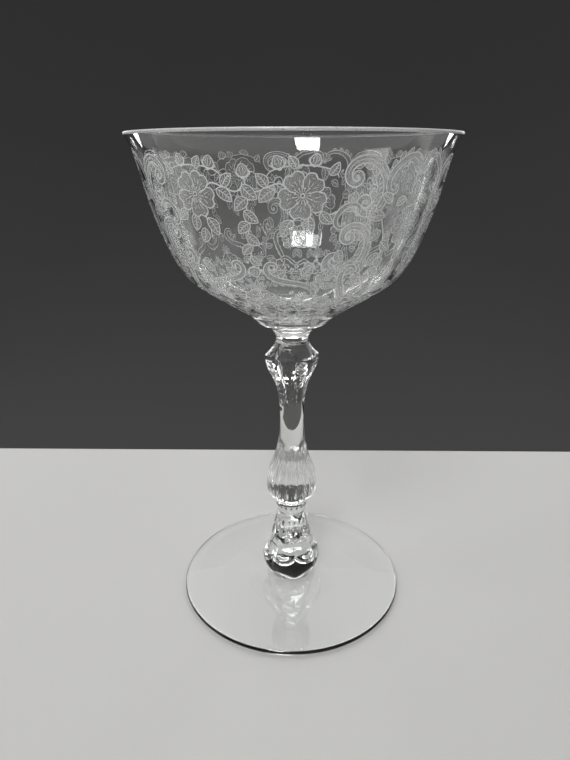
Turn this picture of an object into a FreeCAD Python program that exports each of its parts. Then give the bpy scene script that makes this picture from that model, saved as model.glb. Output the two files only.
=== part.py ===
import FreeCAD, Part
import math
import os

# A tall-stemmed coupe glass for sparkling wine, in three pieces of clear glass that are joined hot:
# a blown bowl, a pressed ornamental stem and a thin disc foot.  Millimetres, +Z up, origin on the
# glass's axis in the plane that the foot rests on.

# Driving dimensions: heights above the table, and radii from the axis
glass_height = 162.0
rim_radius = 49.6
rim_bead = 0.45  # radius of the fire-polished rim, so the wall is 0.9 mm thick there
bowl_joint_height = 104.6
bowl_joint_radius = 11.6
bowl_side_wall = 1.15
bowl_bottom_wall = 3.2

foot_radius = 41.2
foot_edge_thickness = 1.8
foot_joint_height = 4.4
foot_joint_radius = 8.6
foot_rest_radius = 37.0  # the foot touches the table outside this circle
foot_hollow = 0.9  # rise of the foot's underside below the stem

neck_radius = 5.4
neck_height = 97.8
shoulder_radius = 9.45
shoulder_height = 91.8
shaft_radius = 4.25
shaft_height = 70.0
knop_radius = 9.05
knop_height = 43.0
waist_radius = 5.2
waist_height = 31.0
collar_radius = 7.5
collar_foot_height = 20.0
dome_radius = 10.75
dome_height = 12.0

# The pressed pattern repeats six times around the stem
lobe_count = 6
ribs_per_lobe = 3
rib_width = 1.75
rib_depth = 0.75
valley_angle = -80.0  # direction of one valley between two lobes, in degrees from +X


def at(radius, height):
    """A point of an outline in the XZ plane."""
    return FreeCAD.Vector(radius, 0, height)


def straight(start, end):
    """A straight stretch of an outline."""
    return Part.LineSegment(at(*start), at(*end)).toShape()


def smooth(points):
    """A smooth curve through an outline's points."""
    curve = Part.BSplineCurve()
    curve.interpolate([at(*point) for point in points])
    return curve


def turned(edges):
    """The solid that a closed outline makes when it is turned round the glass's axis."""
    face = Part.Face(Part.Wire(edges))
    return face.revolve(FreeCAD.Vector(0, 0, 0), FreeCAD.Vector(0, 0, 1), 360)


def round_about(shape, count, start_angle):
    """Copies of a shape, evenly spaced round the axis, fused together."""
    copies = []
    for index in range(count):
        copy = shape.copy()
        copy.rotate(FreeCAD.Vector(0, 0, 0), FreeCAD.Vector(0, 0, 1), start_angle + 360.0 * index / count)
        copies.append(copy)
    return copies[0].multiFuse(copies[1:])


def valleys(low, high, outer_radius, lobe_radius):
    """What is pressed away between the six round lobes of one level of the stem."""
    lobe_centre = outer_radius - lobe_radius + 0.2
    blank = Part.makeCylinder(outer_radius + 2, high - low, at(0, low))
    lobe = Part.makeCylinder(lobe_radius, high - low, at(lobe_centre, low))
    lobes = round_about(lobe, lobe_count, valley_angle + 180.0 / lobe_count)
    core = Part.makeCylinder(lobe_centre, high - low, at(0, low))
    return blank.cut(lobes.fuse(core))


def inward(curve, height_share, wall):
    """The inner surface's point that faces the outer curve's point at a share of its length."""
    parameter = curve.FirstParameter + height_share * (curve.LastParameter - curve.FirstParameter)
    point = curve.value(parameter)
    along = curve.tangent(parameter)[0]
    return (point.x - wall * along.z, point.z + wall * along.x)


def make_bowl():
    """Blown bowl: a steep side that flares at the lip, over a shallow cone with a rounded turn."""
    lip_height = glass_height - rim_bead
    outer = smooth([
        (bowl_joint_radius, bowl_joint_height),
        (16.3, 108.0),
        (26.6, 114.6),
        (34.2, 120.8),
        (38.5, 128.0),
        (42.3, 138.0),
        (45.1, 148.0),
        (47.3, 156.5),
        (rim_radius, lip_height),
    ])
    inner_points = [(rim_radius - 2 * rim_bead, lip_height)]
    for share in (0.93, 0.8, 0.65, 0.5, 0.38, 0.26, 0.14):
        wall = bowl_side_wall + (bowl_bottom_wall - bowl_side_wall) * (1 - share) ** 6
        inner_points.append(inward(outer, share, wall))
    inner_bottom = bowl_joint_height + bowl_bottom_wall
    inner_points.append((0, inner_bottom))
    level = FreeCAD.Vector(-1, 0, 0)
    inner = Part.BSplineCurve()
    inner.interpolate(
        Points=[at(*point) for point in inner_points],
        Tangents=[level] * len(inner_points),
        TangentFlags=[False] * (len(inner_points) - 1) + [True],
    )
    rim = Part.Arc(
        at(rim_radius, lip_height),
        at(rim_radius - rim_bead, glass_height),
        at(rim_radius - 2 * rim_bead, lip_height),
    )
    return turned([
        straight((0, bowl_joint_height), (bowl_joint_radius, bowl_joint_height)),
        outer.toShape(),
        rim.toShape(),
        inner.toShape(),
        straight((0, inner_bottom), (0, bowl_joint_height)),
    ])


def stem_blank():
    """The stem's turned outline, from the flare under the bowl to the joint on the foot."""
    flare_edge = bowl_joint_height - 0.5
    knop_foot = waist_height + 2.5
    return turned([
        straight((0, bowl_joint_height), (bowl_joint_radius, bowl_joint_height)),
        straight((bowl_joint_radius, bowl_joint_height), (bowl_joint_radius, flare_edge)),
        smooth([
            (bowl_joint_radius, flare_edge),
            (8.0, 102.6),
            (6.3, 100.4),
            (neck_radius, neck_height),
            (6.1, 96.0),
            (7.6, 94.0),
            (shoulder_radius - 0.2, shoulder_height + 0.6),
        ]).toShape(),
        smooth([
            (shoulder_radius - 0.2, shoulder_height + 0.6),
            (shoulder_radius, shoulder_height - 0.4),
            (8.6, 88.0),
            (6.5, 83.5),
            (4.9, 78.0),
            (shaft_radius, shaft_height),
            (4.6, 62.5),
            (6.2, 54.0),
            (8.7, 46.6),
            (knop_radius, knop_height),
            (8.5, 38.7),
            (6.1, 35.2),
            (5.6, knop_foot),
        ]).toShape(),
        smooth([
            (5.6, knop_foot),
            (waist_radius, waist_height),
            (6.1, 26.5),
            (7.2, 22.8),
            (collar_radius, collar_foot_height),
        ]).toShape(),
        straight((collar_radius, collar_foot_height), (7.1, collar_foot_height - 0.6)),
        smooth([
            (7.1, collar_foot_height - 0.6),
            (9.3, 15.6),
            (dome_radius, dome_height),
            (10.2, 7.6),
            (foot_joint_radius, foot_joint_height),
        ]).toShape(),
        straight((foot_joint_radius, foot_joint_height), (0, foot_joint_height)),
        straight((0, foot_joint_height), (0, bowl_joint_height)),
    ])


def knop_grooves():
    """The narrow grooves that part the ribs of the lower knop."""
    groove_top = 59.0
    groove_foot = 35.0
    core = turned([
        straight((0, groove_top + 2), (4.4, groove_top + 2)),
        smooth([
            (4.4, groove_top + 2),
            (5.4, 54.5),
            (knop_radius - rib_depth - 0.3, 46.6),
            (knop_radius - rib_depth, knop_height),
            (knop_radius - rib_depth - 0.4, 39.2),
            (5.0, groove_foot - 1),
        ]).toShape(),
        straight((5.0, groove_foot - 1), (0, groove_foot - 1)),
        straight((0, groove_foot - 1), (0, groove_top + 2)),
    ])
    rib_count = lobe_count * ribs_per_lobe
    height = groove_top - groove_foot
    blank = Part.makeCylinder(knop_radius + 2, height, at(0, groove_foot))
    bar = Part.makeBox(knop_radius + 3, rib_width, height, FreeCAD.Vector(0, -rib_width / 2, groove_foot))
    ribs = round_about(bar, rib_count, valley_angle + 180.0 / rib_count)
    return blank.cut(ribs).cut(core)


def make_stem():
    """Pressed stem: lobed shoulder, plain shaft, ribbed knop, petalled collar and scalloped dome."""
    shoulder = valleys(75.0, 96.5, shoulder_radius, 3.7)
    collar = valleys(collar_foot_height, 29.0, collar_radius, 3.3)
    dome = valleys(foot_joint_height, collar_foot_height - 0.6, dome_radius, 4.8)
    stem = stem_blank()
    for pressed in (shoulder, knop_grooves(), collar, dome):
        stem = stem.cut(pressed)
    return stem


def make_foot():
    """Disc foot: nearly flat on top with a rounded edge, and slightly hollow underneath."""
    edge = foot_edge_thickness / 2
    top = smooth([
        (foot_radius - edge, foot_edge_thickness),
        (28.0, 2.5),
        (16.0, 3.4),
        (foot_joint_radius, foot_joint_height),
    ])
    hollow = smooth([
        (foot_joint_radius, foot_hollow),
        (24.0, foot_hollow * 0.7),
        (foot_rest_radius, 0),
    ])
    rounded = Part.Arc(
        at(foot_radius - edge, 0),
        at(foot_radius, edge),
        at(foot_radius - edge, foot_edge_thickness),
    )
    return turned([
        straight((foot_rest_radius, 0), (foot_radius - edge, 0)),
        rounded.toShape(),
        top.toShape(),
        straight((foot_joint_radius, foot_joint_height), (0, foot_joint_height)),
        straight((0, foot_joint_height), (0, foot_hollow)),
        straight((0, foot_hollow), (foot_joint_radius, foot_hollow)),
        hollow.toShape(),
    ])


os.makedirs("parts", exist_ok=True)
for name, make in (("bowl", make_bowl), ("stem", make_stem), ("foot", make_foot)):
    shape = make()
    solid = shape.Solids[0]
    print(name, "solids", len(shape.Solids), "valid", solid.isValid(), "volume", round(solid.Volume))
    solid.exportStep(f"parts/{name}.step")
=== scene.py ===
"""The looks of a tall-stemmed champagne coupe of clear glass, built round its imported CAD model."""

import math

import bpy
import numpy as np
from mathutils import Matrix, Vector
from mathutils.geometry import delaunay_2d_cdt
from mathutils.kdtree import KDTree


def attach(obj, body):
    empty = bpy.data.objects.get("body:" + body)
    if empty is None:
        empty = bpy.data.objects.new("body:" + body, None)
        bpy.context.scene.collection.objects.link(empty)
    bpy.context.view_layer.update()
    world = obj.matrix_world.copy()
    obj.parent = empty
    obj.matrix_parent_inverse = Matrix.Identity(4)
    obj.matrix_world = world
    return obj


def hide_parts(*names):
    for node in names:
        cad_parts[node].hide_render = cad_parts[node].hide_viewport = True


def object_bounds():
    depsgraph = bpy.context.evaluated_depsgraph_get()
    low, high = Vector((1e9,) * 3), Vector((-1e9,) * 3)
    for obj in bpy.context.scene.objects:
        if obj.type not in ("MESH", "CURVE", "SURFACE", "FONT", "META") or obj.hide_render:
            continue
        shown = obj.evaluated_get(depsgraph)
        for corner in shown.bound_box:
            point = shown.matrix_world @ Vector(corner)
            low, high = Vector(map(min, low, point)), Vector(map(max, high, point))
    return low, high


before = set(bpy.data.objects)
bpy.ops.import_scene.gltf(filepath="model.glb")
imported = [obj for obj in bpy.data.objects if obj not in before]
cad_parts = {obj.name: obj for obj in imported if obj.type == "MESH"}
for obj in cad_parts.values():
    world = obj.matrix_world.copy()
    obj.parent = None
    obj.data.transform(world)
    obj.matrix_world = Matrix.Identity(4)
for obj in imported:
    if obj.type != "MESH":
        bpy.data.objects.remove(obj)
cad_low, cad_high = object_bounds()

# One millimetre of the design, in metres: the CAD glass is 162 mm tall.
MM = (cad_high.z - cad_low.z) / 162.0

# The two flat joints where the pieces are fused: radius and height of each joint's edge, in millimetres.
FOOT_JOINT = (8.6, 4.4)
BOWL_JOINT = (11.6, 104.6)

GLASS_IOR = 1.54


# ---------------------------------------------------------------- outlines

def spline(points, count):
    """A natural cubic spline through (radius, height) points, as `count` points spaced evenly along it."""
    knots = np.array(points, float)
    gaps = np.hypot(*np.diff(knots, axis=0).T)
    at = np.concatenate([[0.0], np.cumsum(gaps)])
    size = len(knots)
    system = np.eye(size)
    wanted = np.zeros_like(knots)
    for i in range(1, size - 1):
        system[i, i - 1:i + 2] = gaps[i - 1], 2 * (gaps[i - 1] + gaps[i]), gaps[i]
        wanted[i] = 6 * ((knots[i + 1] - knots[i]) / gaps[i] - (knots[i] - knots[i - 1]) / gaps[i - 1])
    bend = np.linalg.solve(system, wanted)
    fine = np.linspace(0, at[-1], 40 * size)
    i = np.clip(np.searchsorted(at, fine, side="right") - 1, 0, size - 2)
    gap, left, right = gaps[i][:, None], (fine - at[i])[:, None], (at[i + 1] - fine)[:, None]
    curve = (bend[i] * right ** 3 + bend[i + 1] * left ** 3) / (6 * gap)
    curve += (knots[i] / gap - bend[i] * gap / 6) * right
    curve += (knots[i + 1] / gap - bend[i + 1] * gap / 6) * left
    return evenly(curve, count)


def evenly(path, count):
    """The same path as `count` points spaced evenly along it."""
    path = np.array(path, float)
    along = np.concatenate([[0.0], np.cumsum(np.hypot(*np.diff(path, axis=0).T))])
    where = np.linspace(0, along[-1], count)
    return np.column_stack([np.interp(where, along, path[:, k]) for k in (0, 1)])


def arc(centre, radius, start, end, count):
    """Points of a circular arc in an outline; angles in degrees."""
    turn = np.radians(np.linspace(start, end, count))
    return np.column_stack([centre[0] + radius * np.cos(turn), centre[1] + radius * np.sin(turn)])


def smooth_step(low, high, x):
    """0 below low, 1 above high, and a smooth change between them."""
    t = np.clip((x - low) / (high - low), 0, 1)
    return t * t * (3 - 2 * t)


def turned_grid(outline, columns, relief=None, start=0.0):
    """The points of an outline turned round the axis, rows along the outline and columns round it.

    relief(angle, height) gives how far each point is pressed in towards the axis, in millimetres."""
    angle = start + np.arange(columns) * 2 * math.pi / columns
    radius = np.repeat(outline[:, :1], columns, axis=1)
    height = np.repeat(outline[:, 1:], columns, axis=1)
    if relief is not None:
        radius = np.maximum(radius - relief(angle[None, :], height), 0)
    return np.stack([radius * np.cos(angle), radius * np.sin(angle), height], axis=-1)


def grid_normals(grid):
    """Outward normals of a turned grid whose outline runs anticlockwise as seen with the axis on the left."""
    around = np.roll(grid, -1, axis=1) - np.roll(grid, 1, axis=1)
    along = np.gradient(grid, axis=0)
    normal = np.cross(around, along)
    length = np.linalg.norm(normal, axis=-1, keepdims=True)
    return normal / np.maximum(length, 1e-12)


def grid_faces(rows, columns, first=0):
    """Quads between the rows of a grid that closes on itself round the axis."""
    row, column = np.meshgrid(np.arange(rows - 1), np.arange(columns), indexing="ij")
    after = (column + 1) % columns
    quads = np.stack([row * columns + column, row * columns + after,
                      (row + 1) * columns + after, (row + 1) * columns + column], axis=-1)
    return (quads.reshape(-1, 4) + first).tolist()


def fan(centre, ring, upward):
    """Triangles from a centre vertex to a ring of vertices."""
    turns = [(a, b) if upward else (b, a) for a, b in zip(ring, ring[1:] + ring[:1])]
    return [(centre, a, b) for a, b in turns]


def piece(name, points, normals, faces, face_slots, materials):
    """A smooth-shaded mesh from points in millimetres, with its true normals."""
    mesh = bpy.data.meshes.new(name)
    mesh.from_pydata((np.asarray(points) * MM).tolist(), [], faces)
    for material in materials:
        mesh.materials.append(material)
    mesh.polygons.foreach_set("material_index", face_slots)
    mesh.polygons.foreach_set("use_smooth", [True] * len(faces))
    mesh.validate()
    mesh.normals_split_custom_set_from_vertices(np.asarray(normals).tolist())
    made = bpy.data.objects.new(name, mesh)
    bpy.context.scene.collection.objects.link(made)
    return made


def closed_turning(name, outline, columns, materials, relief=None, fused_below=0, fused_above=0):
    """A closed piece turned from an outline that starts on the axis below and ends on it above.

    fused_below and fused_above count the strips of surface, from the bottom and from the top, that are
    fused to the next piece along with the middle of that end. materials are the glass and the joint."""
    grid = turned_grid(outline[1:-1], columns, relief)
    rows = len(grid)
    start = rows * columns
    points = np.vstack([grid.reshape(-1, 3), [[0, 0, outline[0, 1]], [0, 0, outline[-1, 1]]]])
    normals = np.vstack([grid_normals(grid).reshape(-1, 3), [[0, 0, -1], [0, 0, 1]]])
    faces = grid_faces(rows, columns)
    faces += fan(start, list(range(columns)), upward=False)
    faces += fan(start + 1, list(range(start - columns, start)), upward=True)
    strip = np.arange(rows - 1)
    fused = (strip < fused_below) | (strip >= rows - 1 - fused_above)
    fused = np.concatenate([fused, [fused_below > 0, fused_above > 0]])
    slots = np.repeat(fused.astype(int), columns).tolist()
    return piece(name, points, normals, faces, slots, materials)


# ---------------------------------------------------------------- glass

def clear_glass(name, waviness):
    """Clear lead glass, with the faint waviness and handling marks of a hand-finished piece."""
    material = bpy.data.materials.new(name)
    material.use_nodes = True
    nodes, links = material.node_tree.nodes, material.node_tree.links
    shader = nodes["Principled BSDF"]
    shader.inputs["Base Color"].default_value = (0.985, 0.995, 0.99, 1)
    shader.inputs["Transmission Weight"].default_value = 1.0
    shader.inputs["IOR"].default_value = GLASS_IOR
    place = nodes.new("ShaderNodeTexCoord")
    smudge = nodes.new("ShaderNodeTexNoise")
    smudge.inputs["Scale"].default_value = 60
    smudge.inputs["Detail"].default_value = 4
    links.new(place.outputs["Object"], smudge.inputs["Vector"])
    spread = nodes.new("ShaderNodeMapRange")
    spread.inputs["From Min"].default_value = 0.45
    spread.inputs["From Max"].default_value = 0.75
    spread.inputs["To Min"].default_value = 0.0
    spread.inputs["To Max"].default_value = 0.035
    links.new(smudge.outputs["Fac"], spread.inputs["Value"])
    links.new(spread.outputs["Result"], shader.inputs["Roughness"])
    wave = nodes.new("ShaderNodeTexNoise")
    wave.inputs["Scale"].default_value = 90
    wave.inputs["Detail"].default_value = 1
    links.new(place.outputs["Object"], wave.inputs["Vector"])
    bump = nodes.new("ShaderNodeBump")
    bump.inputs["Strength"].default_value = 1.0
    bump.inputs["Distance"].default_value = waviness
    links.new(wave.outputs["Fac"], bump.inputs["Height"])
    links.new(bump.outputs["Normal"], shader.inputs["Normal"])
    return material


def fused_joint(name):
    """Where two pieces are fused hot there is no surface: light passes straight on."""
    material = bpy.data.materials.new(name)
    material.use_nodes = True
    nodes, links = material.node_tree.nodes, material.node_tree.links
    nodes.remove(nodes["Principled BSDF"])
    through = nodes.new("ShaderNodeBsdfTransparent")
    links.new(through.outputs["BSDF"], nodes["Material Output"].inputs["Surface"])
    return material


def frosted_glass(name, clearness, roughness):
    """Glass with a satin surface: part of the light still passes, scattered by a fine grain."""
    material = bpy.data.materials.new(name)
    material.use_nodes = True
    nodes, links = material.node_tree.nodes, material.node_tree.links
    shader = nodes["Principled BSDF"]
    shader.inputs["Base Color"].default_value = (0.93, 0.94, 0.94, 1)
    shader.inputs["Transmission Weight"].default_value = clearness
    shader.inputs["IOR"].default_value = GLASS_IOR
    place = nodes.new("ShaderNodeTexCoord")
    grain = nodes.new("ShaderNodeTexNoise")
    grain.inputs["Scale"].default_value = 2500
    grain.inputs["Detail"].default_value = 3
    links.new(place.outputs["Object"], grain.inputs["Vector"])
    spread = nodes.new("ShaderNodeMapRange")
    spread.inputs["To Min"].default_value = roughness - 0.1
    spread.inputs["To Max"].default_value = roughness + 0.1
    links.new(grain.outputs["Fac"], spread.inputs["Value"])
    links.new(spread.outputs["Result"], shader.inputs["Roughness"])
    bump = nodes.new("ShaderNodeBump")
    bump.inputs["Strength"].default_value = 0.15
    bump.inputs["Distance"].default_value = 0.00004
    links.new(grain.outputs["Fac"], bump.inputs["Height"])
    links.new(bump.outputs["Normal"], shader.inputs["Normal"])
    return material


frosted_fill = frosted_glass("frosted_fill", 0.85, 0.22)
frosted_line = frosted_glass("frosted_line", 0.20, 0.40)
# The rim bead's whiter satin glass is a painted highlight: it stands in for the bright line of light along
# the clear rim.
rim_painted_highlight = frosted_glass("rim_painted_highlight", 0.35, 0.30)
bowl_glass = clear_glass("bowl_glass", 0.00002)
stem_glass = clear_glass("stem_glass", 0.00001)
foot_glass = clear_glass("foot_glass", 0.00002)
joint = fused_joint("fused_joint")


# ---------------------------------------------------------------- foot

FOOT_RADIUS = 41.2
EDGE = 0.9  # radius of the foot's rounded edge
HOLLOW = 0.9  # height of the hollow under the foot's middle
foot_outline = np.vstack([
    [[0, HOLLOW], [4.0, HOLLOW], [8.0, HOLLOW]],
    spline([(8.6, HOLLOW), (24.0, 0.63), (37.0, 0)], 24),
    [[38.5, 0]],
    arc((FOOT_RADIUS - EDGE, EDGE), EDGE, -90, 90, 15),
    spline([(40.2, 1.8), (28.0, 2.5), (16.0, 3.4), FOOT_JOINT], 40),
    [[8.58, 4.4], [4.0, 4.4], [0, 4.4]],
])
foot = closed_turning("foot_disc", foot_outline, 192, [foot_glass, joint], fused_above=2)
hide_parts("foot")
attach(foot, "root")


# ---------------------------------------------------------------- stem

LOBES = 6
RIBS = 18
VALLEY = math.radians(-80)  # direction of one valley between two lobes


def lobe_phase(angle, repeats=LOBES, shift=0.0):
    """0 in each valley and 1 on each crest of the pattern that repeats round the stem."""
    return 0.5 - 0.5 * np.cos(repeats * (angle - VALLEY) + shift)


def window(low, high, fade, height):
    """1 between two heights, fading to 0 outside them."""
    return smooth_step(low - fade, low + fade, height) * (1 - smooth_step(high - fade, high + fade, height))


def stem_relief(angle, height):
    """How deep the mould's pattern is pressed into the stem's turned outline."""
    across = np.sqrt(lobe_phase(angle))  # 0 in a valley, 1 along the middle of a lobe
    valley = 1 - across
    groove = 1 - np.abs(np.sin(0.5 * RIBS * (angle - VALLEY)))  # 1 along the groove between two ribs
    # the tulip under the bowl: lobes with leaf veins, and beaded edges along the valleys
    depth = 2.2 * valley * window(82, 94, 3, height) * (1 - smooth_step(91, 97, height))
    depth = depth + 0.8 * valley * window(73, 84, 3, height)
    edge = np.exp(-((across - 0.42) / 0.16) ** 2)
    beads = 0.5 + 0.5 * np.sin(2 * math.pi * height / 2.5)
    depth = depth + 0.22 * beads * edge * window(74.5, 90, 1.5, height)
    veins = 0.5 + 0.5 * np.sin(2 * math.pi * (height - 3.2 * across) / 2.1)
    depth = depth + 0.06 * veins * smooth_step(0.45, 0.75, across) * window(80, 90.5, 1.0, height)
    # the ribbed knop, whose ribs end below in round tips
    ribs = 0.95 * groove ** 1.4 * (0.3 + 0.7 * smooth_step(38.5, 42.5, height))
    depth = depth + ribs * smooth_step(33.2, 35.6, height) * (1 - smooth_step(42, 60, height))
    tips = np.exp(-((height - 34.4) / 0.9) ** 2)
    depth = depth + 0.35 * (groove - 0.5) * tips
    # the collar: petals that stand over the valleys, fluted, with a scalloped lower edge
    petals = 1 - np.sqrt(lobe_phase(angle, shift=math.pi))
    depth = depth + 0.9 * petals * window(21.5, 27, 2.0, height)
    depth = depth + 0.32 * groove * window(23.5, 28.0, 0.8, height)
    depth = depth + 0.6 * (1 - smooth_step(0.0, 0.55, petals)) * window(18.6, 20.4, 0.5, height)
    # the dome: scallops with a thumbprint and a ring round it in each
    depth = depth + 1.5 * valley * smooth_step(4.6, 13.0, height) * (1 - smooth_step(15.0, 19.0, height))
    swing = np.arcsin(np.clip(np.cos(0.5 * LOBES * (angle - VALLEY)), -1, 1)) / (0.5 * LOBES)
    print_reach = np.hypot(9.2 * swing / 3.2, (height - 15.4) / 1.6)
    depth = depth + 0.38 * (1 - smooth_step(0.35, 1.1, print_reach))
    depth = depth + 0.26 * np.exp(-((print_reach - 1.75) / 0.18) ** 2) * window(8.0, 17.6, 0.8, height)
    return depth


stem_outline = np.vstack([
    [[0, 4.4], [4.0, 4.4], [8.59, 4.4]],
    spline([FOOT_JOINT, (10.2, 7.6), (10.75, 12.0), (9.3, 15.6), (7.1, 19.4)], 56),
    [[7.3, 19.6]],
    spline([(7.5, 20.0), (7.2, 22.8), (6.1, 26.5), (5.2, 31.0), (5.6, 33.5)], 48),
    spline([(5.6, 33.5), (6.1, 35.2), (8.5, 38.7), (9.05, 43.0), (8.7, 46.6), (6.2, 54.0), (4.6, 62.5),
            (4.25, 70.0), (4.9, 78.0), (6.5, 83.5), (8.6, 88.0), (9.45, 91.4)], 180)[1:],
    spline([(9.25, 92.4), (7.6, 94.0), (6.1, 96.0), (5.4, 97.8), (6.3, 100.4), (8.0, 102.6),
            (11.6, 104.1)], 50),
    [[11.6, 104.59], [11.58, 104.6], [6.0, 104.6], [0, 104.6]],
])
stem = closed_turning("stem_pressed", stem_outline, 288, [stem_glass, joint], stem_relief,
                      fused_below=1, fused_above=2)
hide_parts("stem")
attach(stem, "root")


# ---------------------------------------------------------------- etched motifs, in millimetres

CLEAR, FILL, LINE = 0, 1, 2  # finishes: polished glass, satin ground and whiter drawn line


def turn(points, degrees, mirror=False, size=1.0, shift=(0, 0)):
    """Points mirrored left to right, scaled, turned anticlockwise and moved."""
    points = np.array(points, float) * size
    if mirror:
        points[:, 0] *= -1
    c, s = math.cos(math.radians(degrees)), math.sin(math.radians(degrees))
    return points @ np.array([[c, s], [-s, c]]) + np.array(shift)


def placed(shapes, degrees=0, mirror=False, size=1.0, shift=(0, 0)):
    """A motif's shapes, moved together."""
    return [(kind, turn(points, degrees, mirror, size, shift)) for kind, points in shapes]


def stroke(path, width, taper=0.35):
    """The outline of a line drawn along a path, thinner at its ends."""
    path = np.array(path, float)
    along = np.gradient(path, axis=0)
    along /= np.linalg.norm(along, axis=1)[:, None] + 1e-12
    across = np.column_stack([-along[:, 1], along[:, 0]])
    share = np.linspace(0, 1, len(path))
    half = 0.5 * width * (taper + (1 - taper) * np.sin(math.pi * share) ** 0.4)[:, None]
    return np.vstack([path + across * half, (path - across * half)[::-1]])


def loop_stroke(outline, width):
    """A line drawn round a closed outline, as two half loops that meet."""
    outline = np.array(outline, float)
    half = len(outline) // 2
    first = outline[:half + 1]
    second = np.vstack([outline[half:], outline[:1]])
    return [(LINE, stroke(part, width, taper=1.0)) for part in (first, second)]


def oval(centre, wide, tall, degrees=0, count=10):
    """An oval's outline."""
    t = np.arange(count) * 2 * math.pi / count
    return turn(np.column_stack([wide * np.cos(t), tall * np.sin(t)]), degrees, shift=centre)


def blade(spine, half):
    """The closed outline of a leaf or lobe that grows upwards; half is its half width along the spine."""
    reach = np.column_stack([half, 0 * half])
    return np.vstack([spine - reach, (spine + reach)[::-1]])


def lobe(spine, half):
    """A slender acanthus lobe with a bright edge and a vein."""
    outline = blade(spine, half)
    return [(FILL, outline)] + loop_stroke(outline, 0.2) + [(LINE, stroke(spine[1:-1], 0.14))]


def bent(length, start, middle, end, sharpness, count):
    """A path whose bend runs from `start` through `middle` to `end`, in radians a millimetre: a scroll."""
    t = np.linspace(0, 1, count)
    bend = middle + (start - middle) * (1 - t) ** sharpness + (end - middle) * t ** sharpness
    heading = np.concatenate([[0], np.cumsum((bend[1:] + bend[:-1]) / 2)]) * length / (count - 1)
    steps = np.column_stack([np.cos(heading), np.sin(heading)]) * length / (count - 1)
    path = np.vstack([[0, 0], np.cumsum((steps[1:] + steps[:-1]) / 2, axis=0)])
    return path - (path.min(axis=0) + path.max(axis=0)) / 2


def rose(radius, petals=5):
    """A wild rose seen from the front: notched petals, a ring of stamens and an open eye."""
    t = np.linspace(0, 1, 15)[:-1]
    notch = 1 - 0.13 * np.exp(-((t - 0.5) / 0.1) ** 2)
    edge = radius * (0.66 + 0.34 * np.sin(math.pi * t) ** 0.42) * notch
    angles = np.concatenate([(k + t) * 2 * math.pi / petals for k in range(petals)])
    edges = np.tile(edge, petals)
    outline = np.column_stack([edges * np.cos(angles), edges * np.sin(angles)])
    shapes = [(FILL, outline)] + loop_stroke(outline, 0.34)
    for k in range(petals):
        side = 2 * math.pi * k / petals
        seam = np.linspace(0.24, 0.68, 7) * radius
        curl = side + 0.10 * np.sin(np.linspace(0, math.pi, 7))
        shapes.append((LINE, stroke(np.column_stack([seam * np.cos(curl), seam * np.sin(curl)]), 0.3)))
        middle = side + math.pi / petals
        for lean, reach in ((-0.32, 0.70), (0.0, 0.66), (0.32, 0.70)):
            vein = np.linspace(0.45, reach, 4) * radius
            swing = middle + lean * np.linspace(0.7, 1.1, 4)
            line = np.column_stack([vein * np.cos(swing), vein * np.sin(swing)])
            shapes.append((LINE, stroke(line, 0.15)))
    for k in range(3 * petals):
        way = 2 * math.pi * (k + 0.5) / (3 * petals)
        outward = np.array([math.cos(way), math.sin(way)])
        reach = radius * (0.36 if k % 2 else 0.29)
        thread = np.linspace(radius * 0.15 * outward, reach * outward, 3)
        shapes.append((LINE, stroke(thread, 0.17, taper=0.8)))
        tip = reach * 1.06 * outward
        shapes.append((LINE, oval(tip, radius * 0.034, radius * 0.034, count=6)))
        gap = way + math.pi / (3 * petals)
        hole = (radius * 0.235 * math.cos(gap), radius * 0.235 * math.sin(gap))
        shapes.append((CLEAR, oval(hole, radius * 0.05, radius * 0.022, math.degrees(gap), count=6)))
    shapes.append((LINE, oval((0, 0), radius * 0.11, radius * 0.11, count=12)))
    shapes.append((CLEAR, oval((0, 0), radius * 0.055, radius * 0.055, count=8)))
    return shapes


def leaf(length, width, veins=4, bend=0.25):
    """A pointed leaf that grows from the origin upwards, with a midrib and side veins."""
    t = np.linspace(0, 1, 11)
    spine = np.column_stack([bend * length * (t - t ** 2) * 1.2, t * length])
    half = 0.5 * width * np.sin(math.pi * t ** 0.85) ** 0.75
    half[[0, -1]] = 0.04
    outline = blade(spine, half)
    shapes = [(FILL, outline)] + loop_stroke(outline, 0.24)
    shapes.append((LINE, stroke(spine[:-1], 0.22)))
    for k in range(veins):
        base = 0.18 + 0.56 * k / max(veins - 1, 1)
        for side in (-1, 1):
            root = np.array([np.interp(base, t, spine[:, 0]), base * length])
            reach = 0.72 * np.interp(base + 0.12, t, half)
            tip = np.array([np.interp(base + 0.13, t, spine[:, 0]) + side * reach, (base + 0.15) * length])
            shapes.append((LINE, stroke(np.linspace(root, tip, 3), 0.13)))
    return shapes


def bud(size):
    """A closed rose bud on a calyx, growing upwards."""
    t = np.linspace(0, 2 * math.pi, 17)[:-1]
    across = 0.42 * size * np.sin(t) * (1 + 0.25 * np.cos(t))
    bulb = np.column_stack([across, 0.62 * size - 0.45 * size * np.cos(t)])
    shapes = [(FILL, bulb)] + loop_stroke(bulb, 0.24)
    for lean in (-0.22, 0.06, 0.26):
        across = lean * size * np.array([0.3, 1.0, 0.4])
        fold = np.column_stack([across, size * np.array([0.3, 0.62, 0.95])])
        shapes.append((LINE, stroke(fold, 0.18)))
    for side in (-1, 1):
        across = side * size * np.array([0.0, 0.3, 0.52, 0.5])
        sepal = np.column_stack([across, size * np.array([0.1, 0.18, 0.42, 0.7])])
        shapes.append((LINE, stroke(sepal, 0.3)))
    shapes.append((LINE, oval((0, 0.12 * size), 0.16 * size, 0.12 * size, count=8)))
    return shapes


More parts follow.
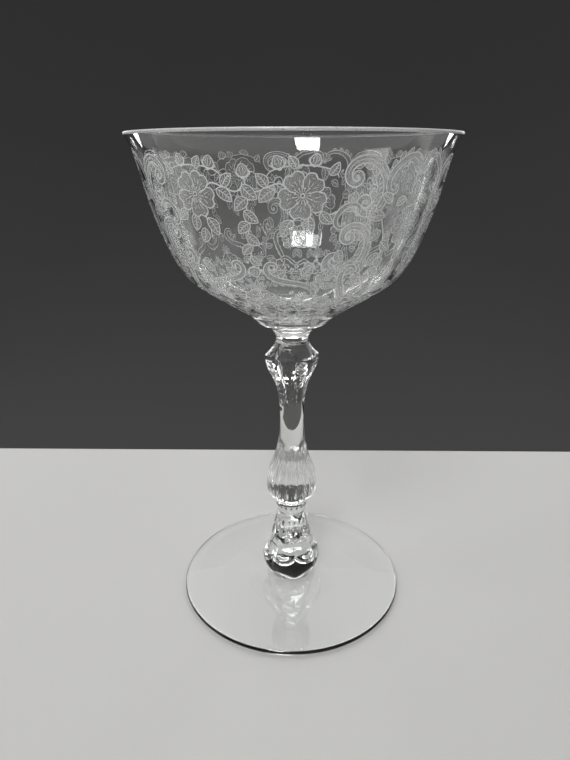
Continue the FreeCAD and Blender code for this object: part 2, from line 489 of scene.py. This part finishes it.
def ribbon(path, width, line=0.3, ends=0.35):
    """A scroll's band: two bright edges with a clear channel between, closed by a round knob at each end."""
    path = np.array(path, float)
    along = np.gradient(path, axis=0)
    along /= np.linalg.norm(along, axis=1)[:, None]
    across = np.column_stack([-along[:, 1], along[:, 0]])
    share = np.linspace(0, 1, len(path))
    half = 0.5 * width * (ends + (1 - ends) * np.sin(math.pi * share) ** 0.7)[:, None]
    shapes = [(FILL, np.vstack([path + across * half, (path - across * half)[::-1]]))]
    shapes.append((LINE, stroke(path + across * half, line, taper=0.8)))
    shapes.append((LINE, stroke(path - across * half, line, taper=0.8)))
    for end in (path[0], path[-1]):
        shapes.append((LINE, oval(end, 0.45, 0.45, count=8)))
    return shapes


def leaflets(path, first, last, count, length, side, lean=55):
    """Acanthus lobes that grow from one side of a scroll, longest at the middle."""
    path = np.array(path, float)
    along = np.gradient(path, axis=0)
    shapes = []
    for k in range(count):
        share = first + (last - first) * k / max(count - 1, 1)
        at = share * (len(path) - 1)
        root = np.array([np.interp(at, range(len(path)), path[:, i]) for i in (0, 1)])
        way = math.degrees(math.atan2(np.interp(at, range(len(path)), along[:, 1]),
                                      np.interp(at, range(len(path)), along[:, 0])))
        grown = length * (0.55 + 0.45 * math.sin(math.pi * (k + 0.5) / count))
        t = np.linspace(0, 1, 8)
        half = 0.22 * grown * np.sin(math.pi * t ** 1.3) ** 0.8 + 0.05
        spine = np.column_stack([0.22 * grown * t ** 2 * side, t * grown])
        shapes += placed(lobe(spine, half), way - 90 + side * lean, shift=root)
    return shapes


def vine(points, width):
    """A thin stem through a few points."""
    points = np.array(points, float)
    t = np.linspace(0, 1, len(points))
    fine = np.linspace(0, 1, 6 * len(points))
    degree = min(3, len(points) - 1)
    path = np.column_stack([np.polyval(np.polyfit(t, points[:, i], degree), fine) for i in (0, 1)])
    return [(LINE, stroke(path, width, taper=0.6))]


# ---------------------------------------------------------------- bowl outline

RIM = (49.6, 161.55)  # where the outside wall meets the rim's bead
BEAD = 0.45  # radius of the bead
INSIDE_BOTTOM = 107.8
outside = spline([BOWL_JOINT, (16.3, 108.0), (26.6, 114.6), (34.2, 120.8), (38.5, 128.0), (42.3, 138.0),
                  (45.1, 148.0), (47.3, 156.5), RIM], 600)
wall_length = np.hypot(*np.diff(outside, axis=0).T).sum()


def wall_at(depth):
    """Radius and height of the bowl's outside, so many millimetres down from the rim along the wall."""
    share = (1 - np.asarray(depth) / wall_length) * (len(outside) - 1)
    return [np.interp(share, np.arange(len(outside)), outside[:, k]) for k in (0, 1)]


def radius_at(depth):
    """The outside radius at that depth."""
    return wall_at(depth)[0]


def inner_wall(outer, count):
    """The inside outline: the outside one moved in by the wall, which thickens towards the bottom."""
    along = np.gradient(outer, axis=0)
    along /= np.linalg.norm(along, axis=1)[:, None]
    share = np.linspace(0, 1, len(outer))
    wall = 0.9 + 0.25 * smooth_step(0, 0.2, 1 - share) + 2.05 * (1 - share) ** 6
    inside = outer + wall[:, None] * np.column_stack([-along[:, 1], along[:, 0]])
    kept = inside[share > 0.14]
    bottom = [(0, INSIDE_BOTTOM), (3.0, INSIDE_BOTTOM + 0.05)]
    return spline(bottom + [tuple(p) for p in kept[::40]] + [tuple(kept[-1])], count)[::-1]


# ---------------------------------------------------------------- the band's layout

def on_bowl(shapes, degrees, depth):
    """A motif's shapes as (angle, depth) round the bowl: degrees round, and millimetres down from the rim."""
    made = []
    for kind, points in shapes:
        down = depth - points[:, 1]
        made.append((kind, np.column_stack([math.radians(degrees) + points[:, 0] / radius_at(down), down])))
    return made


def sprig(leaves, length, leaf_size, bend):
    """A short stem that grows upwards, with leaves in turn left and right and one at its tip."""
    t = np.linspace(0, 1, 9)
    spine = np.column_stack([bend * length * t ** 2, t * length])
    shapes = [(LINE, stroke(spine, 0.3, taper=0.5))]
    end = spine[-1] - [0, 0.1]
    lean = -math.degrees(math.atan2(2 * bend, 1))
    shapes += placed(leaf(leaf_size, leaf_size * 0.6), lean, shift=end)
    for k in range(leaves):
        share = 0.25 + 0.6 * k / leaves
        root = (bend * length * share ** 2, share * length)
        side = 1 if k % 2 else -1
        small = leaf(leaf_size * (1 - 0.25 * share), leaf_size * 0.58)
        shapes += placed(small, side * -58 + lean * share, shift=root)
    return shapes


def drops(count, size):
    """Bell drops that hang one under the other, each smaller than the last."""
    shapes, down = [], 0.0
    for k in range(count):
        tall = size * (1 - 0.18 * k)
        t = np.linspace(0, 2 * math.pi, 13)[:-1]
        across = 0.34 * tall * np.sin(t) * (1 - 0.35 * np.cos(t))
        bell = np.column_stack([across, -down - 0.5 * tall + 0.5 * tall * np.cos(t)])
        shapes += [(FILL, bell)] + loop_stroke(bell, 0.22)
        rib = [(0, -down - part * tall) for part in (0.15, 0.5, 0.85)]
        shapes.append((LINE, stroke(rib, 0.2)))
        down += tall * 1.02
    return shapes


def palmette(lobes, length):
    """A fan of slender lobes that spread from one foot."""
    shapes = []
    for k in range(lobes):
        way = (k - (lobes - 1) / 2) * 150 / lobes
        reach = length * (1 - 0.0035 * abs(way))
        t = np.linspace(0, 1, 8)
        half = 0.13 * reach * np.sin(math.pi * t ** 1.6) ** 0.8 + 0.06
        spine = np.column_stack([0 * t, t * reach])
        shapes += placed(lobe(spine, half), way)
    return shapes + [(LINE, oval((0, 0), 0.7, 0.55, count=10))]


def c_scroll(size, lobes, reach):
    """A C-shaped scroll with a volute at each end and acanthus lobes along both sides of its back."""
    path = bent(52, 1.5, 0.095, 1.25, 7, 110)
    shapes = leaflets(path, 0.27, 0.73, lobes, reach, 1, 62)
    shapes += leaflets(path, 0.36, 0.64, lobes - 3, reach * 0.42, -1, 68)
    shapes += ribbon(path, 2.3, 0.42)
    shapes.append((LINE, stroke(path[24:-24], 0.2)))
    return placed(shapes, size=size)


def s_scroll(length, width):
    """A long S-shaped scroll with a volute at each end."""
    path = bent(length, 1.3, 0.0, -1.3, 5, 70)
    shapes = leaflets(path, 0.3, 0.5, 3, 2.3, 1, 45) + leaflets(path, 0.5, 0.7, 3, 2.3, -1, 45)
    return shapes + ribbon(path, width, 0.34)


def berries(count, size, step, bend):
    """A row of round berries on a stem that grows upwards."""
    at = np.arange(count) * step
    path = np.column_stack([bend * at ** 2 / at[-1], at])
    shapes = [(LINE, stroke(path, 0.24, taper=0.6))]
    return shapes + [(LINE, oval(point, size, size, count=8)) for point in path]


def half_unit():
    """One half of the repeating unit, from the garland's centre line to the line of symmetry 60 degrees on.

    Where motifs overlap, the later one hides the earlier one."""
    made = []

    def put(shapes, degrees, depth, turned=0, mirror=False):
        """Set a motif at an angle from the garland's centre line and a depth below the rim."""
        made.extend(on_bowl(placed(shapes, turned, mirror), degrees, depth))

    # stems first, so that everything else lies on them
    put(vine([(-14.0, 3.2), (-11, 1.0), (-7, 2.6), (-4, 1.5)], 0.4), 18, 15.4)
    put(vine([(-8.5, 4.6), (-5.5, 6.4), (0.5, 7.2), (6.0, 6.2), (8.6, 4.2)], 0.36), 18, 15.4)
    put(vine([(4.5, -3.4), (7.0, -4.6), (9.5, -3.6), (14.0, -4.4)], 0.4), 18, 15.4)
    put(vine([(-1.5, -5.0), (-2.6, -8.0), (-2.2, -11.5)], 0.34), 18, 15.4)
    put(vine([(-3.5, 8.5), (-1.5, 4.0), (-1.0, 0.0), (1.5, -4.0), (1.0, -8.0)], 0.36), 48.5, 24.5)
    # the rose's leaves and buds
    put(leaf(4.4, 2.8), 17.0, 24.2, 200)
    put(leaf(5.0, 3.2), 14.6, 21.4, 155)
    put(leaf(4.6, 3.0), 20.2, 20.6, 190)
    put(leaf(4.2, 2.6), 24.0, 19.4, 225)
    put(leaf(4.8, 3.0), 9.4, 14.0, 128)
    put(leaf(4.0, 2.6), 7.2, 13.4, 40)
    put(leaf(3.4, 2.2), 16.0, 9.2, 30)
    put(leaf(3.6, 2.2), 26.0, 10.6, -35)
    put(bud(3.4), 11.4, 9.6, 16)
    put(bud(3.0), 21.0, 8.8, -14)
    put(rose(6.1), 18, 15.4, 12)
    # the upper scroll, with a fan of leaves and a small scroll under its arch
    put(palmette(7, 5.2), 36.0, 19.4, 12)
    put(c_scroll(0.92, 8, 4.9), 38.5, 13.4, 66, mirror=True)
    put(ribbon(bent(15, 1.5, 0.13, 1.2, 5, 50), 1.2), 33.0, 20.4, 118, mirror=True)
    put(leaf(4.0, 2.5), 42.6, 18.0, 160)
    # the lower scroll, open towards the garland
    put(c_scroll(0.92, 9, 4.6), 35.0, 30.0, 14, mirror=True)
    put(leaf(4.2, 2.6), 31.6, 29.6, 200)
    put(berries(4, 0.42, 1.3, 0.2), 27.6, 35.4, 50)
    # leaves between the scrolls and the rose on the next line of symmetry
    put(leaf(4.8, 2.8), 47.4, 21.0, 95)
    put(leaf(4.6, 2.8), 47.6, 25.0, 130)
    put(leaf(4.6, 2.8), 49.0, 28.0, 235)
    put(leaf(4.4, 2.6), 49.6, 31.5, 140)
    put(bud(3.2), 50.2, 32.4, 190)
    # the arms that cross above that rose
    arm = bent(23, 1.4, 0.07, 1.1, 6, 60)
    put(leaflets(arm, 0.3, 0.7, 5, 3.0, -1), 52.4, 10.6, 158, mirror=True)
    put(ribbon(arm, 1.6), 52.4, 10.6, 158, mirror=True)
    put(leaf(4.0, 2.4), 49.2, 17.6, 55)
    put(leaf(3.6, 2.2), 55.6, 16.6, 120)
    # the lower rows
    put(leaf(4.4, 2.7), 6.6, 37.6, -60)
    put(bud(3.0), 22.0, 36.0, 20)
    put(leaf(4.2, 2.6), 18.6, 37.0, -40)
    put(s_scroll(27, 1.6), 14.0, 39.4, 205)
    put(sprig(3, 6.0, 4.0, 0.1), 25.6, 43.6, -15)
    put(sprig(3, 6.4, 4.2, -0.1), 47.0, 42.8, 18)
    put(s_scroll(27, 1.6), 37.0, 42.6, 150)
    put(leaf(4.4, 2.7), 54.0, 42.4, 150)
    put(leaf(4.2, 2.6), 52.4, 38.4, 60)
    put(palmette(5, 3.8), 18.4, 47.6, 15)
    put(leaf(4.6, 2.8), 12.4, 46.6, 95)
    put(leaf(4.2, 2.6), 25.4, 46.6, -75)
    put(s_scroll(20, 1.4), 49.0, 48.2, 25, mirror=True)
    for degrees, turned in ((10, 40), (22, 140), (45, 60), (54, 150)):
        put(ribbon(bent(13, 1.5, 0.16, 1.3, 4, 44), 1.1), degrees, 52.6, turned)
        put(palmette(3, 2.6), degrees + 3.5, 52.8, 180)
    put(rose(4.2), 33.0, 50.6, 8)
    for k in range(8):
        put(leaf(3.0, 2.0), 4 + 7.5 * k, 55.8 + 0.5 * (k % 2), 180 + 20 * (-1) ** k)
    for k in range(6):
        put(leaf(4.6, 2.6), 5 + 10 * k, 59.6, 180)
    return made


def on_centre_line():
    """Motifs on the garland's centre line: a wandering stem with leaves, and a rose below."""
    made = on_bowl(vine([(0.0, 9.0), (1.4, 4.0), (-1.6, -2.0), (1.0, -8.0), (-0.6, -14.0)], 0.42), 0, 19.5)
    for k in range(7):
        side = 1 if k % 2 else -1
        hanging = placed(leaf(4.8 - 0.2 * k, 3.2 - 0.15 * k), 180 - side * 48)
        made += on_bowl(hanging, 0.7 * side, 13.0 + 3.1 * k)
    made += on_bowl(placed(bud(3.4), 180), 0, 34.2)
    made += on_bowl(placed(bud(3.4), 0), 0, 11.6)
    made += on_bowl(placed(palmette(5, 3.6), 0), 0, 42.4)
    made += on_bowl(placed(rose(5.4), 18), 0, 47.4)
    return made


def on_side_line():
    """Motifs on the line of symmetry between two garlands."""
    made = on_bowl(placed(palmette(5, 4.2), 0), 60, 10.6)
    made += on_bowl(placed(leaf(4.4, 3.0), 180), 60, 12.2)
    made += on_bowl(placed(rose(5.9), -6), 60, 24.0)
    made += on_bowl(placed(drops(4, 3.3), 0), 60, 31.0)
    made += on_bowl(placed(palmette(7, 4.8), 0), 60, 46.0)
    made += on_bowl(placed(rose(3.6), -6), 60, 51.6)
    return made


def band_shapes():
    """All the shapes of one sector: a half, its mirror image, and what lies on the lines of symmetry."""
    half = half_unit()
    mirrored = [(k, p * [-1, 1]) for k, p in half]
    return half + mirrored + on_centre_line() + on_side_line()


# ---------------------------------------------------------------- bowl

SECTORS = 3
SECTOR = 2 * math.pi / SECTORS
GARLAND = math.radians(-105)  # direction of the first garland's centre line
BAND_TOP, BAND_FOOT = 3.5, 65.0  # the band's borders, in millimetres down from the rim
COLUMNS = 80  # of the grid under one sector of the band
ROW_HEIGHT = 1.25  # of that grid, in millimetres
WELD = 0.004  # millimetres between points that become one
NOMINAL = 40.0  # millimetres a radian, so that the flat band has about its true proportions


def inside_of(polygon, points):
    """Which points lie inside a closed outline, counting its turns round each."""
    x, y = points[:, 0][:, None], points[:, 1][:, None]
    ax, ay = polygon[:, 0], polygon[:, 1]
    bx, by = np.roll(ax, -1), np.roll(ay, -1)
    left = (bx - ax) * (y - ay) - (x - ax) * (by - ay)
    up = (ay <= y) & (by > y) & (left > 0)
    down = (ay > y) & (by <= y) & (left < 0)
    return (up.sum(axis=1) - down.sum(axis=1)) != 0


def welded(flat, corners, finish):
    """The triangles with their near-coincident points made one, apart from points on the sector's border."""
    inner = (np.abs(flat[:, 0]) < SECTOR / 2 * NOMINAL - WELD) & (flat[:, 1] > BAND_TOP + WELD)
    inner &= flat[:, 1] < BAND_FOOT - WELD
    tree = KDTree(int(inner.sum()))
    for number in np.flatnonzero(inner).tolist():
        tree.insert((*flat[number], 0), number)
    tree.balance()
    same = np.arange(len(flat))
    for number in np.flatnonzero(inner).tolist():
        same[number] = same[min(found for _, found, _ in tree.find_range((*flat[number], 0), WELD))]
    corners = same[corners]
    whole = (corners != np.roll(corners, 1, axis=1)).all(axis=1)
    return corners[whole], finish[whole]


def etched_sector(shapes):
    """One sector of the band as flat triangles: points, corner numbers and the finish of each triangle."""
    copies = []
    for kind, outline in shapes:
        flat = outline * [NOMINAL, 1]
        for shift in (-1, 0, 1):
            moved = flat + [shift * SECTOR * NOMINAL, 0]
            if moved[:, 0].max() > -SECTOR / 2 * NOMINAL and moved[:, 0].min() < SECTOR / 2 * NOMINAL:
                copies.append((kind, moved))
    rows = round((BAND_FOOT - BAND_TOP) / ROW_HEIGHT)
    across = np.linspace(-SECTOR / 2, SECTOR / 2, COLUMNS + 1) * NOMINAL
    down = np.linspace(BAND_TOP, BAND_FOOT, rows + 1)
    points = [Vector((x, y)) for y in down for x in across]
    edges = []
    stride = COLUMNS + 1
    for column in range(COLUMNS):
        edges += [(column, column + 1), (rows * stride + column, rows * stride + column + 1)]
    for row in range(rows):
        edges += [(row * stride, (row + 1) * stride), (row * stride + COLUMNS, (row + 1) * stride + COLUMNS)]
    for _, outline in copies:
        first = len(points)
        points += [Vector(point) for point in outline.tolist()]
        edges += [(first + k, first + (k + 1) % len(outline)) for k in range(len(outline))]
    # 0 asks for triangles over the whole hull, and points closer than 1e-5 count as one
    result = delaunay_2d_cdt(points, edges, [], 0, 1e-5, False)
    flat = np.array([tuple(point) for point in result[0]])
    corners = np.array(result[2])
    middle = flat[corners].mean(axis=1)
    half = SECTOR / 2 * NOMINAL
    kept = (np.abs(middle[:, 0]) < half) & (middle[:, 1] > BAND_TOP) & (middle[:, 1] < BAND_FOOT)
    corners, middle = corners[kept], middle[kept]
    finish = np.zeros(len(corners), int)
    for kind, outline in copies:
        low, high = outline.min(axis=0), outline.max(axis=0)
        near = np.flatnonzero(((middle > low) & (middle < high)).all(axis=1))
        finish[near[inside_of(outline, middle[near])]] = kind
    corners, finish = welded(flat, corners, finish)
    used, renumbered = np.unique(corners, return_inverse=True)
    return flat[used] / [NOMINAL, 1], renumbered.reshape(-1, 3)[:, ::-1], finish


PANELS = 20  # of the ribbed mould that shapes the inside of a blown bowl
PANEL_DEPTH = 0.26
LIP_STRIPS = 8  # of plain wall between the band and the bead
BEAD_POINTS = 11  # along the bead, between the outside and the inside wall
# Strips that take the rim's painted highlight, a whiter satin glass in place of the light the clear rim
# catches.
RIM_HIGHLIGHT_STRIPS = 8  # from the last strip of the lip to the middle of the bead
FUSED, RIM_PAINTED_HIGHLIGHT = 1, 4  # material slots of the bowl


def optic(angle, height):
    """How far the ridges between the mould's panels stand in from the inside wall."""
    panel = np.abs(np.sin(0.5 * PANELS * (angle - GARLAND)))
    ridge = PANEL_DEPTH * (1 - panel) ** 1.6 * smooth_step(107.5, 116, height)
    return ridge * (1 - smooth_step(148, 158.5, height))


def wall_normals(angle, depth):
    """Outward normals of the bowl's outside."""
    step = 0.05
    above, below = wall_at(depth - step), wall_at(depth + step)
    rise = np.column_stack([above[0] - below[0], above[1] - below[1]])
    rise /= np.linalg.norm(rise, axis=1)[:, None]
    return np.column_stack([rise[:, 1] * np.cos(angle), rise[:, 1] * np.sin(angle), -rise[:, 0]])


def make_bowl():
    """The blown bowl as one closed mesh, with the etched band cut into its outer surface."""
    columns = COLUMNS * SECTORS
    start = GARLAND - SECTOR / 2
    depths = np.linspace(wall_length, BAND_FOOT, 12)
    below = np.vstack([[[5.0, BOWL_JOINT[1]], [11.58, BOWL_JOINT[1]]], np.column_stack(wall_at(depths))])
    below_grid = turned_grid(below, columns, start=start)
    below_slots = np.zeros(len(below) - 1, int)
    below_slots[:2] = FUSED
    above = np.vstack([
        np.column_stack(wall_at(np.linspace(BAND_TOP, 0, LIP_STRIPS + 1))),
        arc((RIM[0] - BEAD, RIM[1]), BEAD, 0, 180, BEAD_POINTS + 2)[1:-1],
        inner_wall(outside, 110)[:-1],
    ])
    above_grid = turned_grid(above, columns, start=start)
    inside = LIP_STRIPS + 1 + BEAD_POINTS
    above_grid[inside:] = turned_grid(above[inside:], columns, optic, start)
    above_slots = np.zeros(len(above) - 1, int)
    # The rim's strips get the whiter satin glass that paints its bright line as a highlight.
    above_slots[LIP_STRIPS - 1:LIP_STRIPS - 1 + RIM_HIGHLIGHT_STRIPS] = RIM_PAINTED_HIGHLIGHT
    points, normals, faces, slots, seam = [], [], [], [], []
    # edge_row is the row of each grid that meets the band
    sides = [(below_grid, below_slots, len(below) - 1), (above_grid, above_slots, 0)]
    for grid, row_slots, edge_row in sides:
        first = sum(len(part) for part in points)
        points.append(grid.reshape(-1, 3))
        normals.append(grid_normals(grid).reshape(-1, 3))
        faces += grid_faces(len(grid), columns, first)
        slots += np.repeat(row_slots, columns).tolist()
        seam += range(first + edge_row * columns, first + (edge_row + 1) * columns)
    # where the grid below meets the band, its normals are the wall's own, as the band's are
    normals[0][-columns:] = wall_normals(start + np.arange(columns) * 2 * math.pi / columns,
                                         np.full(columns, BAND_FOOT))
    first_inner = len(points[0]) + len(points[1]) - columns
    flat, corners, finish = etched_sector(band_shapes())
    for sector in range(SECTORS):
        first = sum(len(part) for part in points)
        angle = GARLAND + sector * SECTOR + flat[:, 0]
        radius, height = wall_at(flat[:, 1])
        points.append(np.column_stack([radius * np.cos(angle), radius * np.sin(angle), height]))
        normals.append(wall_normals(angle, flat[:, 1]))
        faces += (corners + first).tolist()
        slots += (finish + (finish > CLEAR)).tolist()  # FILL and LINE come after the joint's slot
        border = (np.abs(np.abs(flat[:, 0]) - SECTOR / 2) < 1e-6) | (flat[:, 1] < BAND_TOP + 1e-4)
        border |= flat[:, 1] > BAND_FOOT - 1e-4
        seam += (np.flatnonzero(border) + first).tolist()
    centres = sum(len(part) for part in points)
    points.append(np.array([[0, 0, BOWL_JOINT[1]], [0, 0, INSIDE_BOTTOM]]))
    normals.append(np.array([[0, 0, -1.0], [0, 0, 1.0]]))
    faces += fan(centres, list(range(columns)), upward=False)
    faces += fan(centres + 1, list(range(first_inner, first_inner + columns)), upward=True)
    slots += [FUSED] * columns + [0] * columns
    points, normals = np.vstack(points), np.vstack(normals)
    same = np.arange(len(points))
    tree = KDTree(len(seam))
    for place, number in enumerate(seam):
        tree.insert(points[number], place)
    tree.balance()
    for place, number in enumerate(seam):
        same[number] = min(seam[found] for _, found, _ in tree.find_range(points[number], 1e-3))
    kept, renumbered = np.unique(same, return_inverse=True)
    faces = [[int(renumbered[corner]) for corner in face] for face in faces]
    whole = [k for k, face in enumerate(faces) if len(set(face)) == len(face)]
    faces, slots = [faces[k] for k in whole], [slots[k] for k in whole]
    return piece("bowl_blown", points[kept], normals[kept], faces, slots,
                 [bowl_glass, joint, frosted_fill, frosted_line, rim_painted_highlight])


bowl = make_bowl()
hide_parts("bowl")
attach(bowl, "root")


# ---------------------------------------------------------------- floor, backdrop, light and camera

def plain(name, colour, roughness):
    """A plain matt studio surface."""
    material = bpy.data.materials.new(name)
    material.use_nodes = True
    shader = material.node_tree.nodes["Principled BSDF"]
    shader.inputs["Base Color"].default_value = (*colour, 1)
    shader.inputs["Roughness"].default_value = roughness
    return material


def fade_up(material, low, high, below, above):
    """Give a matt material one colour up to a height and let it fade to another above it, in metres."""
    nodes, links = material.node_tree.nodes, material.node_tree.links
    place = nodes.new("ShaderNodeTexCoord")
    split = nodes.new("ShaderNodeSeparateXYZ")
    links.new(place.outputs["Object"], split.inputs["Vector"])
    share = nodes.new("ShaderNodeMapRange")
    share.interpolation_type = "SMOOTHSTEP"
    share.inputs["From Min"].default_value = low
    share.inputs["From Max"].default_value = high
    links.new(split.outputs["Z"], share.inputs["Value"])
    ramp = nodes.new("ShaderNodeValToRGB")
    ramp.color_ramp.elements[0].color = (*below, 1)
    ramp.color_ramp.elements[1].color = (*above, 1)
    links.new(share.outputs["Result"], ramp.inputs["Fac"])
    links.new(ramp.outputs["Color"], nodes["Principled BSDF"].inputs["Base Color"])


def turned_cloth(name, outline, material):
    """A seamless cloth turned round the vertical axis from a (radius, height) outline in metres."""
    columns = 128
    mesh = bpy.data.meshes.new(name)
    points = np.vstack([turned_grid(outline, columns).reshape(-1, 3), [[0, 0, outline[0, 1]]]])
    faces = grid_faces(len(outline), columns)
    faces += fan(columns * len(outline), list(range(columns)), upward=False)
    mesh.from_pydata(points.tolist(), [], faces)
    mesh.polygons.foreach_set("use_smooth", [True] * len(faces))
    mesh.materials.append(material)
    made = bpy.data.objects.new(name, mesh)
    bpy.context.scene.collection.objects.link(made)
    return made


def slab(name, low, high, material):
    """A straight-sided slab with slightly rounded edges."""
    mesh = bpy.data.meshes.new(name)
    corners = [(x, y, z) for x in (low[0], high[0]) for y in (low[1], high[1]) for z in (low[2], high[2])]
    faces = [(0, 1, 3, 2), (4, 6, 7, 5), (0, 4, 5, 1), (2, 3, 7, 6), (0, 2, 6, 4), (1, 5, 7, 3)]
    mesh.from_pydata(corners, [], faces)
    mesh.materials.append(material)
    made = bpy.data.objects.new(name, mesh)
    bpy.context.scene.collection.objects.link(made)
    rounding = made.modifiers.new("rounding", "BEVEL")
    rounding.width = 0.003
    rounding.segments = 4
    return made


FLOOR_GAP = 0.00005  # metres between the foot and the floor, so that their faces don't coincide
FLOOR_THICK = 0.03
FLOOR_BACK = 0.107  # how far behind the glass the floor ends
paper = plain("floor_paper", (0.62, 0.615, 0.60), 0.6)
dark_grey = (0.062, 0.060, 0.060)
cloth = plain("backdrop_cloth", dark_grey, 0.9)
fade_up(cloth, 0.5, 1.05, dark_grey, (0.70, 0.70, 0.70))
slab("floor", (-0.9, -0.9, -FLOOR_THICK - FLOOR_GAP), (0.9, FLOOR_BACK, -FLOOR_GAP), paper)
sweep = np.vstack([[[0.3, -0.4]], arc((0.5, 0.5), 0.9, -90, 0, 24), [[1.4, 0.8], [1.4, 1.05]]])
turned_cloth("backdrop", sweep, cloth)


MIDDLE = (0, 0, 0.08)  # of the glass
BOWL_MIDDLE = (0, 0, 0.12)


def softbox(name, place, aim, width, height, power):
    """A rectangular studio light."""
    data = bpy.data.lights.new(name, "AREA")
    data.shape = "RECTANGLE"
    data.size, data.size_y = width, height
    data.energy = power
    made = bpy.data.objects.new(name, data)
    bpy.context.scene.collection.objects.link(made)
    made.location = place
    made.rotation_euler = (Vector(aim) - Vector(place)).to_track_quat("-Z", "Y").to_euler()
    return made


def around(azimuth, elevation, distance):
    """A place in a direction from the bowl, with azimuth 0 behind the glass and 90 to its right."""
    across, up = math.radians(azimuth), math.radians(elevation)
    level = distance * math.cos(up)
    return (level * math.sin(across), level * math.cos(across), BOWL_MIDDLE[2] + distance * math.sin(up))


def hidden_card(name, azimuth, elevation, width, height, power):
    """A pale card that lights the glass's edges from behind, out of the camera's sight."""
    made = softbox(name, around(azimuth, elevation, 1.0), BOWL_MIDDLE, width, height, power)
    made.visible_camera = False
    return made


softbox("ceiling", (0.0, 0.0, 1.06), (0, 0, 0), 3.0, 3.0, 12.0)
softbox("window", (-0.17, -0.60, 0.92), MIDDLE, 0.27, 0.30, 3.6)
# the window's glare, just behind it, shows only in reflections
glare = softbox("window_glare", (-0.172, -0.606, 0.929), MIDDLE, 0.27, 0.30, 5.0)
glare.visible_diffuse = False
glare.visible_transmission = False
side_window = softbox("side_window", (-1.1, -0.15, 0.7), MIDDLE, 0.5, 0.45, 1.8)
side_window.visible_camera = False
for side in (-1, 1):
    hidden_card("side_card", side * 54, 9, 0.75, 0.42, 1.2)
    hidden_card("edge_strip", side * 31, 7, 0.10, 0.26, 0.5)
hidden_card("back_card", -5, 41, 1.6, 0.85, 2.0)
neck_strip = hidden_card("neck_strip", 0, 17.5, 0.50, 0.09, 2.4)
neck_strip.visible_diffuse = False

world = bpy.data.worlds.new("studio")
bpy.context.scene.world = world
world.use_nodes = True
world.node_tree.nodes["Background"].inputs["Color"].default_value = (1, 1, 1, 1)
world.node_tree.nodes["Background"].inputs["Strength"].default_value = 0.10

CAMERA_PLACE = (0, -192.1, 156.9)  # in millimetres of the design
CAMERA_DIP = 21.12  # degrees that it looks down
CAMERA_TURN = 0.72  # degrees that it looks to the left of the glass's axis
camera_data = bpy.data.cameras.new("camera")
camera_data.sensor_width = 36
camera_data.lens = 28.07
camera_data.clip_start = 0.01
camera = bpy.data.objects.new("camera", camera_data)
bpy.context.scene.collection.objects.link(camera)
camera.location = Vector(CAMERA_PLACE) * MM
camera.rotation_euler = (math.radians(90 - CAMERA_DIP), 0, math.radians(CAMERA_TURN))
bpy.context.scene.camera = camera

bpy.context.scene.view_settings.view_transform = "Standard"
bpy.context.scene.cycles.blur_glossy = 0.0
bpy.context.scene.cycles.max_bounces = 24
bpy.context.scene.cycles.transmission_bounces = 24
bpy.context.scene.cycles.transparent_max_bounces = 16
